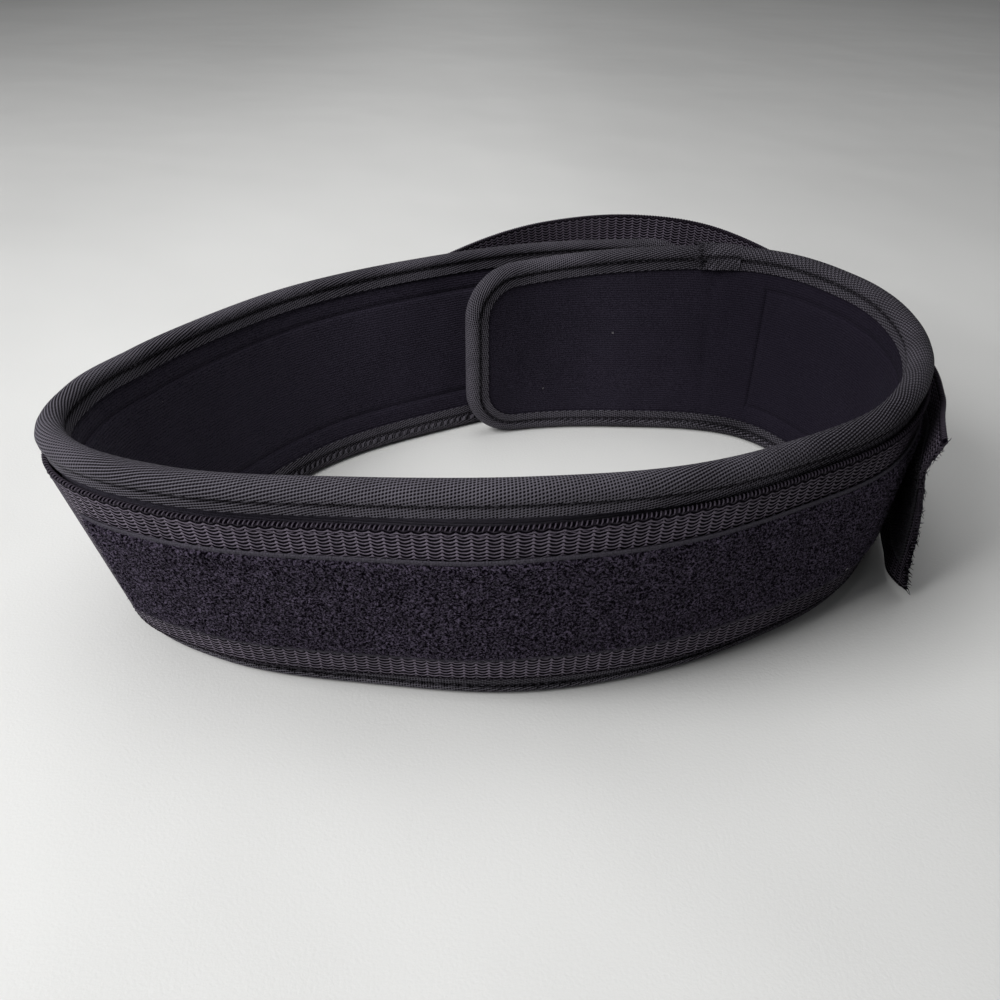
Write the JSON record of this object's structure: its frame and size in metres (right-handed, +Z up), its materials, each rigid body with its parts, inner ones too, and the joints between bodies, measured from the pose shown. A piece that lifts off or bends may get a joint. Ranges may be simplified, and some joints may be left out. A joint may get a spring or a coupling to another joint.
{
  "type": "weightlifting belt",
  "caption": "Padded belt of contoured foam with taped edges and a wide strap, closed in a standing loop with the free tail bowed out behind.",
  "frame": {"origin": "middle of the standing belt's footprint, on the surface that it stands on", "axes": "+Z up, -Y towards the wide middle of the pad, which carries the pile panel, +X towards the end of the free tail"},
  "size_m": [0.346, 0.353, 0.0982],
  "materials": {
    "foam_jersey": "matte knit, dark navy-black",
    "binding_twill": "matte twill tape, black",
    "strap_webbing": "coarse ribbed webbing with a slight sheen, black",
    "loop_pile": "fuzzy loop pile, black",
    "hook_tape": "tape of short stiff hooks, black"
  },
  "bodies": {
    "root": {"pad": "foam_jersey", "edge_binding": "binding_twill", "binding_lap": "binding_twill", "web_strap": "strap_webbing", "pile_panel": "loop_pile", "hook_panel": "hook_tape"}
  },
  "joints": []
}
